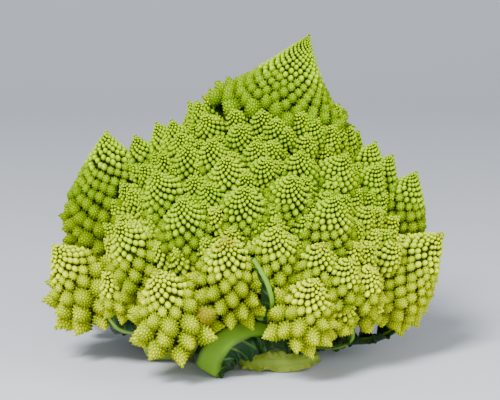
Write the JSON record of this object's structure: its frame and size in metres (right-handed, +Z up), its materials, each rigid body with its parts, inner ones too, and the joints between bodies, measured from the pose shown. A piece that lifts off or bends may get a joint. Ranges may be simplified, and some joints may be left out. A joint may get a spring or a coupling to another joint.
{
  "type": "romanesco head",
  "caption": "Whole romanesco head: a leaning cone of spiral florets on a cut stalk, with trimmed leaves round its foot.",
  "frame": {"origin": "centre of the stalk's flat cut, on the surface the head rests on", "axes": "+Z up; the front of the picture looks along +Y, with +X to the right"},
  "size_m": [0.2017, 0.2004, 0.168],
  "materials": {
    "curd": "matt, slightly moist vegetable flesh",
    "stalk": "matt, moist cut stalk",
    "leaf": "satin, waxy leaf"
  },
  "bodies": {
    "root": {"head": "curd", "stalk": "stalk", "leaf_front": "leaf", "leaf_left_trimmed": "leaf", "leaf_right_low": "leaf", "leaf_right": "leaf", "leaf_small": "leaf", "leaf_left": "leaf", "leaf_right_far": "leaf", "leaf_left_tall": "leaf", "leaf_back_left": "leaf", "leaf_back_right": "leaf"}
  },
  "joints": []
}
